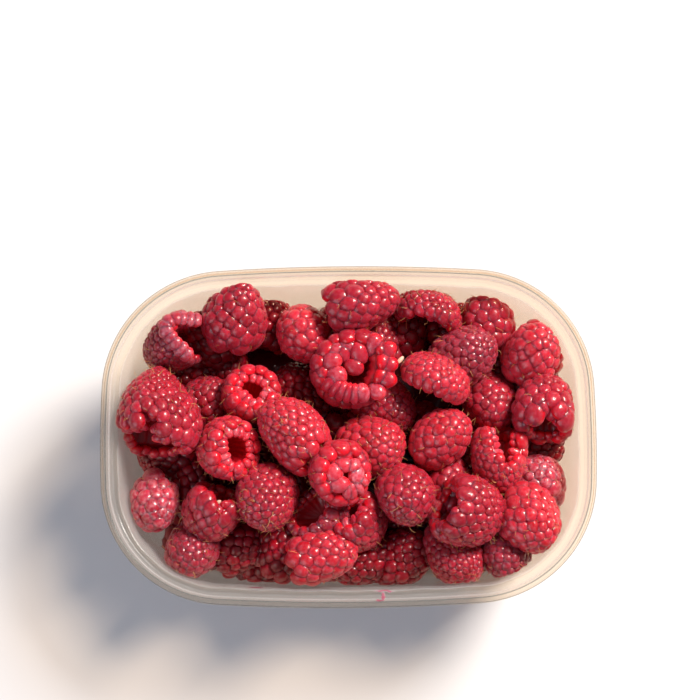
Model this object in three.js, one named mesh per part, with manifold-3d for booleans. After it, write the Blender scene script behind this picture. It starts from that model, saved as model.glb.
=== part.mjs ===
// Punnet of raspberries: a clear plastic tub with rounded corners, heaped with loose berries.
// Millimetres, +Z up. The origin lies on the ground under the middle of the tub.
// X runs along the tub's long side, and -Y is its front.
import * as THREE from 'three';
import { mergeVertices } from 'three/addons/utils/BufferGeometryUtils.js';
import Module from 'manifold-3d';

// Plan of the tub at the outer edge of its rim: four shallow arcs joined by corner arcs.
const halfLength = 72;
const halfWidth = 49.8;
const longSideRadius = 615;
const shortSideRadius = 333;
const cornerRadius = 36;
const cornerSteps = 8;
const longSideSteps = 2;
const shortSideSteps = 2;

// Section of the tub. An inset is measured inwards from the rim's outer edge.
const tubHeight = 50;
const wall = 0.7;
const skirtWall = 0.6;
const skirtHeight = 4;
const lipInset = 0.55;
const lipWidth = 1.1;
const rounding = 0.4;
const ledgeDepth = 3.3;
const riserInset = 3.25;
const wallInset = 5.2;
const draft = 0.087;
const baseFillet = 6;
const baseThickness = 1;
const footWidth = 3;
const footHeight = 0.8;

// Berries.
const gap = 0.35;
const riserClearance = 0.9;
const chosenSides = 8;
const plainSides = 8;
const layerBerry = { length: 18.5, width: 17.5 };
const baseRingCount = 15;
const middleRingCount = 16;
const middleHeight = 25;
const clearOfChosen = 13.5;
const jitter = 0.7;
const tornMouth = 0.5;
const tornReach = 0.25;

// Each chosen berry: middle x, y, z; where its tip points, as azimuth and elevation in degrees;
// length; width; kind. An open berry shows the hollow that its core left, a torn one is split, and a
// deep one lies half hidden between the others.
const chosenBerries = [
  [-52.8, 29, 37, 190, -42, 19, 17, 'open'],
  [-32.8, 39.5, 43, 75, 34, 20.5, 19.8, 'whole'],
  [-14, 31.8, 38, 50, 66, 14.5, 17, 'whole'],
  [-55.6, 9, 43, 88, -10, 26, 25.2, 'open'],
  [-42, 12.5, 30, 60, 40, 18, 17, 'deep'],
  [-28.6, 12.8, 36, 250, -75, 17, 17.5, 'open'],
  [-14, 15, 27, 120, 20, 20, 18, 'deep'],
  [-17, 2.4, 44.5, 135, 5, 22, 18.5, 'whole'],
  [-36.2, -3.2, 40, 170, -58, 18, 18.5, 'open'],
  [2, 20.6, 41, 60, -78, 18, 23.5, 'open'],
  [4.4, 39.6, 44.5, 8, 12, 22, 17.5, 'whole'],
  [24.2, 38.8, 38, 80, -16, 12, 19.8, 'open'],
  [42, 37, 35, 100, 30, 17, 16, 'whole'],
  [55.8, 26, 40, 45, 60, 18, 18, 'whole'],
  [35.2, 25, 39, 20, 40, 18, 17.5, 'whole'],
  [26, 17.4, 43.5, 55, 10, 13.5, 22.5, 'open'],
  [43, 10.6, 33, 250, 60, 17, 17, 'whole'],
  [58.6, 9.6, 40, 90, -18, 18, 19, 'open'],
  [11.9, 9.5, 34, -20, 40, 18, 17, 'deep'],
  [7.8, -3, 39.5, -20, 45, 18, 18, 'whole'],
  [27.8, 0.5, 41, 45, 50, 18, 16.5, 'whole'],
  [44, -6.4, 39, 265, -5, 20, 16, 'torn'],
  [9.5, 30.5, 31, 80, 30, 16, 15, 'deep'],
  [-57.8, -18.4, 34, 262, 25, 17.5, 14.6, 'whole'],
  [-40.4, -22.2, 37, 245, -24, 16.5, 17.5, 'open'],
  [-24, -18, 42, 270, 60, 18, 18, 'whole'],
  [-3.4, -10.4, 43.5, 145, -62, 17.5, 18.5, 'open'],
  [-8, -23.4, 33, -40, -50, 16, 18, 'open'],
  [-7.2, -33.6, 39, 15, 15, 20, 15.5, 'whole'],
  [-46.5, -32.5, 34, 240, 55, 17, 16, 'whole'],
  [4, -25, 35, -50, -50, 17, 16.5, 'open'],
  [17, -17.6, 42, 270, 60, 17.5, 17.5, 'whole'],
  [29.6, -13.6, 33, 100, 10, 18, 16, 'deep'],
  [35.8, -22, 42, -15, -28, 19, 20.5, 'open'],
  [56, -13, 32, 80, 30, 17, 16.5, 'whole'],
  [53.7, -25, 40, -60, 35, 18.5, 19, 'whole'],
  [47, -34, 34, 270, 45, 17, 15, 'whole'],
  [31.5, -35, 33, -60, 40, 18, 16.5, 'whole'],
  [17, -34, 27.5, 30, 20, 18, 17, 'deep'],
  [3.5, -35, 26, 200, 20, 18, 16, 'deep'],
  [-33, -31, 26, 20, 20, 18, 16, 'deep'],
  [-19.5, -30.5, 28, 60, 30, 18, 16, 'deep'],
  [-55, -3, 25, 180, 10, 18, 17, 'deep'],
  [56, 0, 26, 0, 10, 18, 17, 'deep'],
  [56, 18, 27, 20, 20, 17, 16, 'deep'],
  [31, 36, 26, 40, 20, 17, 16, 'deep'],
  [-24, 37, 28, 80, 20, 17, 16, 'deep'],
  [20.5, 5, 24, 150, 15, 18, 17, 'deep'],
  [-38, 25, 24, 300, 20, 18, 17, 'deep'],
  [-45.5, -10, 24, 60, 25, 18, 17, 'deep'],
  [-3, 34, 27, 80, 10, 18, 17, 'deep'],
  [16.5, 36.5, 28.5, 100, 10, 17, 16.5, 'deep'],
  [-43.5, 32, 30, 150, 20, 17, 16.5, 'deep'],
];

const wasm = await Module();
wasm.setup();

const degrees = Math.PI / 180;
const fraction = (value) => value - Math.floor(value);
// A fixed, repeatable number from 0 to 1 for each seed.
const scatter = (seed) => fraction(Math.sin(seed * 12.9898) * 43758.5453);

// The corner arcs' centre, where they meet both side arcs without a kink.
const longCentre = new THREE.Vector2(0, halfWidth - longSideRadius);
const shortCentre = new THREE.Vector2(halfLength - shortSideRadius, 0);
const cornerCentre = (() => {
  const across = shortCentre.clone().sub(longCentre);
  const distance = across.length();
  const longReach = longSideRadius - cornerRadius;
  const shortReach = shortSideRadius - cornerRadius;
  const along = (longReach ** 2 - shortReach ** 2 + distance ** 2) / (2 * distance);
  const aside = Math.sqrt(longReach ** 2 - along ** 2);
  const unit = across.divideScalar(distance);
  return new THREE.Vector2(
    longCentre.x + along * unit.x + aside * unit.y,
    longCentre.y + along * unit.y - aside * unit.x,
  );
})();
const shortEnd = cornerCentre.clone().sub(shortCentre).angle();
const cornerEnd = cornerCentre.clone().sub(longCentre).angle();

function arcPoints(centre, radius, from, to, steps) {
  return Array.from({ length: steps }, (_, step) => {
    const angle = from + ((to - from) * step) / steps;
    return new THREE.Vector2(centre.x + radius * Math.cos(angle), centre.y + radius * Math.sin(angle));
  });
}

// The plan outline, this far inside the rim's outer edge, anticlockwise from +X.
function outline(inset) {
  const quarter = [
    ...arcPoints(shortCentre, shortSideRadius - inset, 0, shortEnd, shortSideSteps),
    ...arcPoints(cornerCentre, cornerRadius - inset, shortEnd, cornerEnd, cornerSteps),
    ...arcPoints(longCentre, longSideRadius - inset, cornerEnd, Math.PI / 2, longSideSteps),
  ];
  const back = [...quarter.slice(1).reverse(), quarter[0]];
  const top = new THREE.Vector2(0, halfWidth - inset);
  return [
    ...quarter,
    top,
    ...back.map((p) => new THREE.Vector2(-p.x, p.y)),
    ...quarter.slice(1).map((p) => new THREE.Vector2(-p.x, -p.y)),
    new THREE.Vector2(0, inset - halfWidth),
    ...back.slice(0, -1).map((p) => new THREE.Vector2(p.x, -p.y)),
  ];
}

const ringAt = (inset, z, scale = 1) =>
  outline(inset).map((p) => new THREE.Vector3(p.x * scale, p.y * scale, z));

// A closed skin over rings of equal count, from a first point to a last point.
function skin(first, rings, last) {
  const count = rings[0].length;
  const points = [first, ...rings.flat(), last];
  const index = [];
  const at = (ring, step) => 1 + ring * count + (step % count);
  for (let step = 0; step < count; step += 1) {
    index.push(0, at(0, step + 1), at(0, step));
    for (let ring = 0; ring + 1 < rings.length; ring += 1) {
      index.push(at(ring, step), at(ring, step + 1), at(ring + 1, step));
      index.push(at(ring, step + 1), at(ring + 1, step + 1), at(ring + 1, step));
    }
    index.push(at(rings.length - 1, step), at(rings.length - 1, step + 1), points.length - 1);
  }
  const geometry = new THREE.BufferGeometry().setFromPoints(points);
  geometry.setIndex(index);
  return geometry;
}

function toSolid(geometry) {
  const bare = geometry.clone();
  bare.deleteAttribute('normal');
  bare.deleteAttribute('uv');
  const merged = mergeVertices(bare);
  return new wasm.Manifold(new wasm.Mesh({
    numProp: 3,
    vertProperties: Float32Array.from(merged.attributes.position.array),
    triVerts: Uint32Array.from(merged.index.array),
  }));
}

function toGeometry(solid) {
  const mesh = solid.getMesh();
  const geometry = new THREE.BufferGeometry();
  geometry.setAttribute('position', new THREE.BufferAttribute(mesh.vertProperties, 3));
  geometry.setIndex(new THREE.BufferAttribute(mesh.triVerts, 1));
  geometry.computeVertexNormals();
  return geometry;
}

// The wall's inner face at a height.
const ledgeHeight = tubHeight - ledgeDepth;
const innerInset = (z) => wallInset + draft * (ledgeHeight - z);

// A quarter circle between the wall and the base, as inset and height.
function filletPoints(outset, floor, steps) {
  const radius = baseFillet - outset;
  const inset = innerInset(baseThickness + baseFillet) - outset;
  return Array.from({ length: steps + 1 }, (_, step) => {
    const angle = (step / steps) * (Math.PI / 2);
    return [inset + radius * (1 - Math.sin(angle)), floor + radius * (1 - Math.cos(angle))];
  });
}

function buildTub() {
  const footInset = innerInset(baseThickness + baseFillet) + baseFillet;
  const section = [
    [footInset + footWidth, footHeight],
    [footInset + footWidth - footHeight, 0],
    ...filletPoints(wall, 0, 3),
    [wallInset - wall, ledgeHeight - wall],
    [riserInset - wall, ledgeHeight - wall],
    [lipInset + lipWidth - skirtWall / 2, tubHeight - wall],
    [skirtWall, tubHeight - wall],
    [skirtWall, tubHeight - skirtHeight],
    [0, tubHeight - skirtHeight],
    [0.1, tubHeight - lipInset],
    [lipInset, tubHeight],
    [lipInset + lipWidth, tubHeight],
    [riserInset, ledgeHeight + rounding / 2],
    [wallInset - rounding, ledgeHeight],
    [wallInset, ledgeHeight - rounding],
    ...filletPoints(0, baseThickness, 4).reverse(),
    [footInset + footWidth, baseThickness + footHeight],
  ];
  const rings = section.map(([inset, z]) => ringAt(inset, z));
  const under = new THREE.Vector3(0, 0, footHeight);
  const over = new THREE.Vector3(0, 0, baseThickness + footHeight);
  return toGeometry(toSolid(skin(under, rings, over)));
}

// The room inside the tub, less a small gap, carried out over the ledge and up past the rim.
function roomInside() {
  const above = tubHeight * 2;
  const section = [
    ...filletPoints(0, baseThickness, 4).reverse().map(([inset, z]) => [inset + gap, z + gap]),
    [wallInset + gap, ledgeHeight + gap],
    [riserInset + riserClearance, ledgeHeight + gap],
    [riserInset + riserClearance, above],
  ];
  const deepest = baseThickness + footHeight + gap;
  const rings = section.map(([inset, z]) => ringAt(inset, Math.max(z, deepest)));
  return toSolid(skin(new THREE.Vector3(0, 0, deepest), rings, new THREE.Vector3(0, 0, above)));
}

// Half width of a berry, as a share, at a share of its length from the opening to the tip.
function berryProfile(along) {
  const widest = 0.32;
  if (along < widest) return 1 - 0.2 * ((widest - along) / widest) ** 2;
  return Math.sqrt(1 - ((along - widest) / (1 - widest)) ** 2.3);
}

// The split in a torn berry: a wedge on its upper side that narrows from the opening to the tip.
function buildSplit([x, y, z, , , length, width], tip) {
  const upwards = new THREE.Vector3(0, 0, 1).projectOnPlane(tip).normalize();
  const across = new THREE.Vector3().crossVectors(tip, upwards);
  const mouth = width * tornMouth;
  const wedge = new THREE.ExtrudeGeometry(new THREE.Shape([
    new THREE.Vector2(-mouth, -length),
    new THREE.Vector2(mouth, -length),
    new THREE.Vector2(0, length * tornReach),
  ]), { depth: width, bevelEnabled: false });
  wedge.applyMatrix4(new THREE.Matrix4().makeBasis(across, tip, upwards).setPosition(x, y, z));
  return toSolid(wedge);
}

function buildBerry(row, seed) {
  const [x, y, z, azimuth, elevation, length, width, kind] = row;
  const plain = kind === 'deep' || kind === 'lower';
  const levels = plain ? [0.1, 0.46, 0.84] : [0.04, 0.24, 0.48, 0.74, 0.92];
  const sides = plain ? plainSides : chosenSides;
  const section = levels.map((along) => [berryProfile(along), along]);
  const hollow = kind === 'open' || kind === 'torn';
  const bottom = hollow ? 0.5 : 0.04;
  if (hollow) section.unshift([0.34, 0.3], [0.52, 0.03]);
  const rings = section.map(([radius, along], ring) =>
    Array.from({ length: sides }, (_, side) => {
      const angle = ((side + (ring % 2) / 2) / sides) * 2 * Math.PI;
      const reach = (width / 2) * radius;
      return new THREE.Vector3(
        reach * Math.cos(angle),
        reach * Math.sin(angle),
        (along - 0.5) * length,
      );
    }));
  const geometry = skin(
    new THREE.Vector3(0, 0, (bottom - 0.5) * length),
    rings,
    new THREE.Vector3(0, 0, length / 2),
  );
  const level = Math.cos(elevation * degrees);
  const tip = new THREE.Vector3(
    level * Math.cos(azimuth * degrees),
    level * Math.sin(azimuth * degrees),
    Math.sin(elevation * degrees),
  );
  const spin = new THREE.Quaternion().setFromAxisAngle(new THREE.Vector3(0, 0, 1), scatter(seed) * Math.PI);
  const turn = new THREE.Quaternion().setFromUnitVectors(new THREE.Vector3(0, 0, 1), tip).multiply(spin);
  geometry.applyQuaternion(turn);
  geometry.translate(x, y, z);
  const berry = toSolid(geometry);
  return kind === 'torn' ? berry.subtract(buildSplit(row, tip)) : berry;
}

// Points spaced evenly along the outline at an inset.
function spacedAlong(inset, count, phase) {
  const loop = outline(inset);
  loop.push(loop[0]);
  const reach = [0];
  for (let i = 1; i < loop.length; i += 1) reach.push(reach[i - 1] + loop[i].distanceTo(loop[i - 1]));
  const total = reach[reach.length - 1];
  return Array.from({ length: count }, (_, step) => {
    const wanted = total * fraction((step + phase) / count);
    const next = reach.findIndex((value) => value > wanted);
    const part = (wanted - reach[next - 1]) / (reach[next] - reach[next - 1]);
    return loop[next - 1].clone().lerp(loop[next], part);
  });
}

// The berries under and between the chosen ones: a layer on the base and one in the middle.
function lowerBerries() {
  const { length, width } = layerBerry;
  const baseHeight = baseThickness + footHeight + gap + width / 2;
  const reach = width / 2 + jitter;
  const baseInset = innerInset(baseHeight) + gap + reach;
  const middleInset = innerInset(middleHeight) + gap + reach;
  const places = [
    ...spacedAlong(baseInset, baseRingCount, 0).map((p) => [p.x, p.y, baseHeight]),
    ...[-28, -9.5, 9.5, 28].flatMap((x) => [-9, 9].map((y) => [x, y, baseHeight])),
    ...spacedAlong(middleInset, middleRingCount, 0.5).map((p) => [p.x, p.y, middleHeight]),
  ];
  const rows = [];
  places.forEach(([x, y, z], seed) => {
    const nearest = Math.min(...chosenBerries.map(([cx, cy, cz]) => Math.hypot(x - cx, y - cy, z - cz)));
    if (nearest < clearOfChosen) return;
    rows.push([
      x + jitter * (2 * scatter(seed) - 1),
      y + jitter * (2 * scatter(seed + 50) - 1),
      z,
      360 * scatter(seed + 100),
      40 * (scatter(seed + 150) - 0.5),
      length * (0.94 + 0.12 * scatter(seed + 200)),
      width * (0.94 + 0.1 * scatter(seed + 250)),
      'lower',
    ]);
  });
  return rows;
}

// A smaller body inside the heap, which all its berries are joined to.
function buildCore() {
  const inset = innerInset(middleHeight) + layerBerry.width / 2;
  const rings = [[0.86, 6], [0.98, 12], [1, 22], [0.84, 30], [0.5, 34]];
  return toSolid(skin(
    new THREE.Vector3(0, 0, rings[0][1]),
    rings.map(([scale, z]) => ringAt(inset, z, scale).filter((_, step) => step % 2 === 0)),
    new THREE.Vector3(0, 0, 35),
  ));
}

// The largest body alone, without the slivers that 32-bit rounding pinches off a mesh.
const largestBody = (solid) =>
  solid.decompose().reduce((most, body) => (body.volume() > most.volume() ? body : most));

function buildHeap() {
  let heap = buildCore();
  [...chosenBerries, ...lowerBerries()].forEach((row, seed) => {
    heap = heap.add(buildBerry(row, seed));
  });
  const rounded = toSolid(toGeometry(heap.intersect(roomInside())));
  return toGeometry(largestBody(rounded));
}

const clearPlastic = new THREE.MeshStandardMaterial({ color: 0xe8e2da, roughness: 0.2, metalness: 0 });
const berryRed = new THREE.MeshStandardMaterial({ color: 0xa81c34, roughness: 0.4, metalness: 0 });

const punnet = new THREE.Group();
const addNode = (name, geometry, material) => {
  const node = new THREE.Mesh(geometry, material);
  node.name = name;
  punnet.add(node);
};
addNode('tub', buildTub(), clearPlastic);
addNode('berries', buildHeap(), berryRed);

export default punnet;
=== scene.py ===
# A punnet of raspberries: loose berries heaped in a clear plastic tub.
# Sizes in the dictionaries are millimetres, as in the frame's own source, and meshes are metres.
import math

import bpy
import numpy as np
from mathutils import Matrix, Vector


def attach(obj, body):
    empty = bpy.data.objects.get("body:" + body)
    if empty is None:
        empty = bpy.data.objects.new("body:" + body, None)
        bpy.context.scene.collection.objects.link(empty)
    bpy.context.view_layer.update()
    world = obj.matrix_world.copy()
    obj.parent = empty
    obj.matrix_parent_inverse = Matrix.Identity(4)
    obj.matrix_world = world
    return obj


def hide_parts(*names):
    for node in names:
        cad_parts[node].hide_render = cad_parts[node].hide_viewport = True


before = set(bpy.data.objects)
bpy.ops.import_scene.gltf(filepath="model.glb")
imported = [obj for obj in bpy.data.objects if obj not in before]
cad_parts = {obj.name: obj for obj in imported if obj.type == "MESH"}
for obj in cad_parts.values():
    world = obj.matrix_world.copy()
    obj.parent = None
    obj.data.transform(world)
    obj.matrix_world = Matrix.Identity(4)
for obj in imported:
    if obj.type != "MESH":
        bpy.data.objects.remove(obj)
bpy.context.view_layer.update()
mm = 0.001
goldenAngle = math.radians(137.508)
print("frame loaded")


def scatter(seed):  # a fixed number from 0 to 1 for each seed, the same rule as the frame's
    value = np.sin(np.asarray(seed, dtype=float) * 12.9898) * 43758.5453
    return value - np.floor(value)


def scatterIn(seed, least, span):  # the same, from least to least + span
    return least + span * scatter(seed)


def unit(vectors):
    return vectors / np.linalg.norm(vectors, axis=-1, keepdims=True)


def colour(hexText):  # sRGB hex to linear
    parts = [int(hexText[i:i + 2], 16) / 255 for i in (1, 3, 5)]
    return [p / 12.92 if p <= 0.04045 else ((p + 0.055) / 1.055) ** 2.4 for p in parts] + [1.0]


def addNode(tree, kind, links=None, **settings):
    # settings name the node's own properties, or its inputs when written as in_0, in_Roughness
    node = tree.nodes.new(kind)
    for name, value in settings.items():
        if name.startswith("in_"):
            key = name[3:].replace("_", " ")
            node.inputs[int(key) if key.isdigit() else key].default_value = value
        else:
            setattr(node, name, value)
    for key, source in (links or {}).items():
        tree.links.new(source, node.inputs[key])
    return node


# the tub's plan: four shallow arcs joined by corner arcs
tubShape = {
    "halfLength": 72, "halfWidth": 49.8,
    "longSideRadius": 615, "shortSideRadius": 333, "cornerRadius": 36,
    "height": 50, "wall": 0.7, "skirtWall": 0.6, "skirtHeight": 4,
    "lipInset": 0.55, "lipWidth": 1.1, "ledgeDepth": 3.3, "riserInset": 3.25, "wallInset": 5.2,
    "draft": 0.087, "baseFillet": 6, "baseThickness": 1, "footWidth": 3, "footHeight": 0.8,
    "shortSteps": 14, "cornerSteps": 30, "longSteps": 30,
    "gap": 0.35, "riserGap": 0.9,  # between the berries and the plastic
}
ledgeHeight = tubShape["height"] - tubShape["ledgeDepth"]
heapFloor = tubShape["baseThickness"] + tubShape["footHeight"] + tubShape["gap"]
longCentre = np.array([0, tubShape["halfWidth"] - tubShape["longSideRadius"]])
shortCentre = np.array([tubShape["halfLength"] - tubShape["shortSideRadius"], 0])


def findCorner():  # the corner arc's centre, where it meets both sides without a kink
    across = shortCentre - longCentre
    distance = np.hypot(*across)
    longReach = tubShape["longSideRadius"] - tubShape["cornerRadius"]
    shortReach = tubShape["shortSideRadius"] - tubShape["cornerRadius"]
    along = (longReach ** 2 - shortReach ** 2 + distance ** 2) / (2 * distance)
    aside = math.sqrt(longReach ** 2 - along ** 2)
    ahead = across / distance
    return longCentre + along * ahead + aside * np.array([ahead[1], -ahead[0]])


cornerCentre = findCorner()
shortEnd = math.atan2(*(cornerCentre - shortCentre)[::-1])
cornerEnd = math.atan2(*(cornerCentre - longCentre)[::-1])


def rimLoop(shortSteps, cornerSteps, longSteps):
    # points on the rim's outer edge and their outward directions, anticlockwise from +X
    arcs = [(shortCentre, tubShape["shortSideRadius"], 0, shortEnd, shortSteps),
            (cornerCentre, tubShape["cornerRadius"], shortEnd, cornerEnd, cornerSteps),
            (longCentre, tubShape["longSideRadius"], cornerEnd, math.pi / 2, longSteps)]
    quarter = []
    for centre, radius, start, end, steps in arcs:
        for step in range(steps):
            angle = start + (end - start) * step / steps
            out = np.array([math.cos(angle), math.sin(angle)])
            quarter.append((*(centre + radius * out), *out))
    quarter.append((0, tubShape["halfWidth"], 0, 1))
    quarter = np.array(quarter)
    flip = np.array([-1, 1, -1, 1])
    half = np.vstack([quarter[:-1], quarter[::-1][:-1] * flip])
    return np.vstack([half, -half])


plainLoop = rimLoop(2, 8, 2)  # coarser, for what only follows the tub's outline


def wallInsetAt(z):
    return tubShape["wallInset"] + tubShape["draft"] * (ledgeHeight - z)


def insetOf(points):
    # how far plan points lie inside the rim's edge, and the outward direction there
    plan = np.abs(points[:, :2])
    choices = []
    for centre, radius in ((longCentre, tubShape["longSideRadius"]),
                           (shortCentre, tubShape["shortSideRadius"]),
                           (cornerCentre, tubShape["cornerRadius"])):
        reach = plan - centre
        far = np.linalg.norm(reach, axis=1)
        choices.append((radius - far, reach / far[:, None]))
    toCorner = cornerCentre - longCentre
    fromLong = plan - longCentre
    onLong = fromLong[:, 0] * toCorner[1] - fromLong[:, 1] * toCorner[0] < 0
    toCorner = cornerCentre - shortCentre
    fromShort = plan - shortCentre
    onShort = fromShort[:, 0] * toCorner[1] - fromShort[:, 1] * toCorner[0] > 0
    inset = np.where(onLong, choices[0][0], np.where(onShort, choices[1][0], choices[2][0]))
    out = np.where(onLong[:, None], choices[0][1],
                   np.where(onShort[:, None], choices[1][1], choices[2][1]))
    return inset, out * np.sign(points[:, :2] + 1e-9)


def keepInside(points, back):
    # berries give way where they press on the wall or the base: each point is kept clear of them, and
    # the creases between drupelets stay a little farther back
    fillet, gap = tubShape["baseFillet"], tubShape["gap"]
    z = points[:, 2]
    low = np.clip((fillet + tubShape["baseThickness"] - z) / fillet, 0, 1)
    least = wallInsetAt(z) + gap + fillet * (1 - np.sqrt(1 - low ** 2))
    least = np.where(z > ledgeHeight, tubShape["wallInset"] + gap, least)
    least = np.where(z > ledgeHeight + gap, tubShape["riserInset"] + tubShape["riserGap"], least)
    inset, out = insetOf(points)
    points[:, :2] -= out * np.clip(least + back - inset, 0, None)[:, None]
    points[:, 2] = np.maximum(points[:, 2], heapFloor + back)
    return points


def newMesh(name, points, faces, attributes=None):
    mesh = bpy.data.meshes.new(name)
    mesh.from_pydata((np.asarray(points) * mm).tolist(), [], [list(f) for f in faces])
    for key, (kind, values) in (attributes or {}).items():
        layer = mesh.attributes.new(key, kind, "POINT")
        field = "vector" if kind == "FLOAT_VECTOR" else "value"
        layer.data.foreach_set(field, np.asarray(values, dtype=np.float32).ravel())
    mesh.update()
    piece = bpy.data.objects.new(name, mesh)
    bpy.context.scene.collection.objects.link(piece)
    return piece


def ringSkin(count, rings):  # faces over rings of points with a pole at each end
    last = 1 + rings * count
    faces = []
    for step in range(count):
        after = (step + 1) % count
        faces.append((0, 1 + after, 1 + step))
        for ring in range(rings - 1):
            a = 1 + ring * count
            faces.append((a + step, a + after, a + count + after, a + count + step))
        a = 1 + (rings - 1) * count
        faces.append((a + step, a + after, last))
    return faces


def finishFaces(piece, material):  # smooth faces, all of one material
    for polygon in piece.data.polygons:
        polygon.use_smooth = True
    piece.data.materials.append(material)


def newMaterial(name):
    material = bpy.data.materials.new(name)
    material.use_nodes = True
    return material, material.node_tree, material.node_tree.nodes["Principled BSDF"]


def setInputs(node, values):
    for key, value in values.items():
        node.inputs[key].default_value = value


def mixColours(tree, factor, low, high):  # each colour is a hex text or another node's output
    node = addNode(tree, "ShaderNodeMix", {"Factor": factor}, data_type="RGBA")
    for key, tone in (("A", low), ("B", high)):
        if isinstance(tone, str):
            node.inputs[key].default_value = colour(tone)
        else:
            tree.links.new(tone, node.inputs[key])
    return node.outputs["Result"]


def remap(tree, value, start, end, low=0.0, high=1.0, **settings):  # start to end becomes low to high
    node = addNode(tree, "ShaderNodeMapRange", {"Value": value},
                   in_1=start, in_2=end, in_3=low, in_4=high, **settings)
    return node.outputs["Result"]


def combine(tree, operation, first, second):
    return addNode(tree, "ShaderNodeMath", {0: first, 1: second}, operation=operation).outputs["Value"]


def noiseAt(tree, place, scale, detail):
    return addNode(tree, "ShaderNodeTexNoise", {"Vector": place}, in_Scale=scale, in_Detail=detail)


# ripe raspberry skin: a soft, juicy drupelet under fine down, so light glows in its red edge
# bright and deep are each partly the berries' own colour and partly painted light: bright is lighter, for
# berries in full light, and deep darker, painted shade for those low in the heap
berryFinishes = {
    "bright": {"top": "#bf2439", "crease": "#e8142a", "darkToneAndShade": "#a00c1c", "bloom": "#e48c9a", "down": 0.15},
    "ripe": {"top": "#a81a31", "crease": "#d80e22", "darkToneAndShade": "#800a1a", "bloom": "#d07a8a", "down": 0.15},
    "dusky": {"top": "#9a2036", "crease": "#cc1024", "darkToneAndShade": "#701220", "bloom": "#bc7c8a", "down": 0.24},
    "faded": {"top": "#b83048", "crease": "#e41228", "darkToneAndShade": "#8a1a2c", "bloom": "#e0aab4", "down": 0.4},
    "deep": {"top": "#940c20", "crease": "#b80610", "darkToneAndShade": "#540610", "bloom": "#a05064", "down": 0.04},
}
berrySkin = {
    "mottleScale": 900.0, "mottleDetail": 3.0,
    "creaseToTop": (0.1, 0.7),  # heights on a drupelet between which its two colours blend
    "specks": (0.42, 0.72), "patches": (0.38, 0.62, 0.2, 1.5),  # a range of the mottle, and what it becomes
    "bump": 0.5, "bumpDepth": 0.15,
    "surface": {  # the shader's own inputs, with the scale in metres
        "Roughness": 0.34, "IOR": 1.3, "Subsurface Weight": 0.8, "Subsurface Scale": 0.003,
        "Subsurface Radius": (1.0, 0.12, 0.1), "Sheen Roughness": 0.45, "Sheen Tint": colour("#ff8496"),
        "Coat Weight": 0.36, "Coat Roughness": 0.08,
    },
}


def makeBerryMaterial(name, look):
    material, tree, shader = newMaterial("raspberry_skin_" + name)
    crown = addNode(tree, "ShaderNodeAttribute", attribute_name="crown").outputs["Fac"]
    shade = addNode(tree, "ShaderNodeAttribute", attribute_name="shade").outputs["Fac"]
    place = addNode(tree, "ShaderNodeTexCoord").outputs["Object"]
    mottle = noiseAt(tree, place, berrySkin["mottleScale"], berrySkin["mottleDetail"]).outputs["Fac"]
    # the creases are painted a brighter, clearer red, a painted glow of light through the thin flesh there,
    # and the tops darker
    rise = remap(tree, crown, *berrySkin["creaseToTop"], interpolation_type="SMOOTHSTEP")
    skin = mixColours(tree, rise, look["crease"], look["top"])
    # a positive shade darkens towards the dark colour: at random for each drupelet, and as painted shade over
    # the flesh between drupelets, the hollows and the heap's core
    varied = mixColours(tree, shade, skin, look["darkToneAndShade"])
    # bloom lies in specks on the tops, and a negative shade is pale in patches, as the folded lips are
    pale = remap(tree, shade, 0.0, -1.0)
    patches = remap(tree, mottle, *berrySkin["patches"])
    specks = remap(tree, mottle, *berrySkin["specks"], 0.0, look["down"])
    haze = combine(tree, "MAXIMUM", combine(tree, "MULTIPLY", pale, patches),
                   combine(tree, "MULTIPLY", specks, rise))
    bumps = addNode(tree, "ShaderNodeBump", {"Height": mottle},
                    in_Strength=berrySkin["bump"], in_Distance=berrySkin["bumpDepth"] * mm)
    tree.links.new(mixColours(tree, haze, varied, look["bloom"]), shader.inputs["Base Color"])
    tree.links.new(bumps.outputs["Normal"], shader.inputs["Normal"])
    setInputs(shader, {**berrySkin["surface"], "Sheen Weight": look["down"]})
    return material


berryMaterials = {name: makeBerryMaterial(name, look) for name, look in berryFinishes.items()}


def makePatchyMaterial(name, look):  # two tones that run into each other
    material, tree, shader = newMaterial(name)
    place = addNode(tree, "ShaderNodeTexCoord").outputs["Object"]
    patches = noiseAt(tree, place, look["scale"], look["detail"]).outputs["Fac"]
    tree.links.new(mixColours(tree, patches, *look["tones"]), shader.inputs["Base Color"])
    setInputs(shader, look["surface"])
    return material


driedStyle = {  # thin golden brown threads
    "tones": ("#8c4620", "#e8b272"), "scale": 150.0, "detail": 1.0, "surface": {"Roughness": 0.45},
}
tornCore = {  # pale, damp and fibrous
    "tones": ("#d98a80", "#f3d9c0"), "scale": 1500.0, "detail": 2.0,
    "surface": {"Roughness": 0.5, "Subsurface Weight": 0.2, "Subsurface Scale": 0.001},
}
hairMaterial = makePatchyMaterial("dried_style", driedStyle)
scrapMaterial = makePatchyMaterial("torn_core", tornCore)

plasticLook = {  # clear polypropylene, injection moulded: glossy, faintly milky, cream where light gathers
    "milk": "#e0e5ec", "clear": "#f8efe3", "paintedDarkLine": "#8b9490", "paintedSheenLine": 0.5,
    "surface": {"Roughness": 0.16, "IOR": 2.2},  # the mix thins the reflection, so it is raised here
    "milkiness": (0.05, 0.38), "edgeBlend": 0.25,  # seen face on, and along the surface
    "rippleScale": 60.0, "rippleDetail": 2.0, "ripple": 0.08, "rippleDepth": 0.4,
}
juice = {
    "tone": "#961e48", "strength": 0.9, "fade": (1.0, 0.6),
    "ragged": 1.4, "ragScale": 900.0, "ragDetail": 2.0,
    "smears": [  # middle x, y, z and half sizes, on the front of the rim and the wall under it
        ((10.1, -44.9, 47.5), (3.4, 0.45, 5)), ((9.7, -46.5, 48), (0.6, 1.7, 5)),
        ((8.7, -47.7, 49), (1.6, 0.4, 5)), ((-27.3, -43.3, 38), (2.9, 0.7, 7)),
    ],
}


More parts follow.
